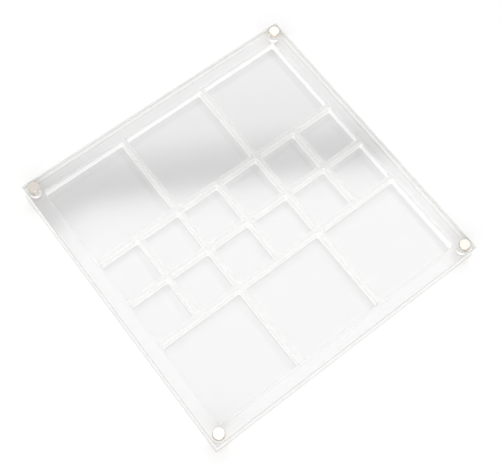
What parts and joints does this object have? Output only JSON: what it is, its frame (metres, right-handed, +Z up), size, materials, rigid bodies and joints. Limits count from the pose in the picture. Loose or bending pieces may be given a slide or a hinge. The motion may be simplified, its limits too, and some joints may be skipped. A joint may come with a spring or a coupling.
{
  "type": "wet palette",
  "caption": "Clear square acrylic paint palette: a milled tray of large and small square wells under a flat lift-off lid that corner disc magnets hold shut.",
  "frame": {"origin": "centre of the tray's flat underside, on the surface it stands on", "axes": "+Z up through the lid, +Y towards the back row of large wells, +X to the right along the rows"},
  "size_m": [0.17, 0.17, 0.014],
  "materials": {
    "tray_acrylic": "clear cast acrylic, milled wells, polished",
    "lid_acrylic": "clear cast acrylic sheet, polished",
    "nickel_plating": "bright nickel plating"
  },
  "bodies": {
    "base": {"base_tray": "tray_acrylic", "base_magnet_back_left": "nickel_plating", "base_magnet_back_right": "nickel_plating", "base_magnet_front_left": "nickel_plating", "base_magnet_front_right": "nickel_plating"},
    "lid": {"lid_plate": "lid_acrylic", "lid_magnet_back_left": "nickel_plating", "lid_magnet_back_right": "nickel_plating", "lid_magnet_front_left": "nickel_plating", "lid_magnet_front_right": "nickel_plating"}
  },
  "joints": [
    {"name": "lid_lift", "type": "slide", "parent": "base", "child": "lid", "axis": [0, 0, 1], "range_m": [0, 0.08]}
  ]
}
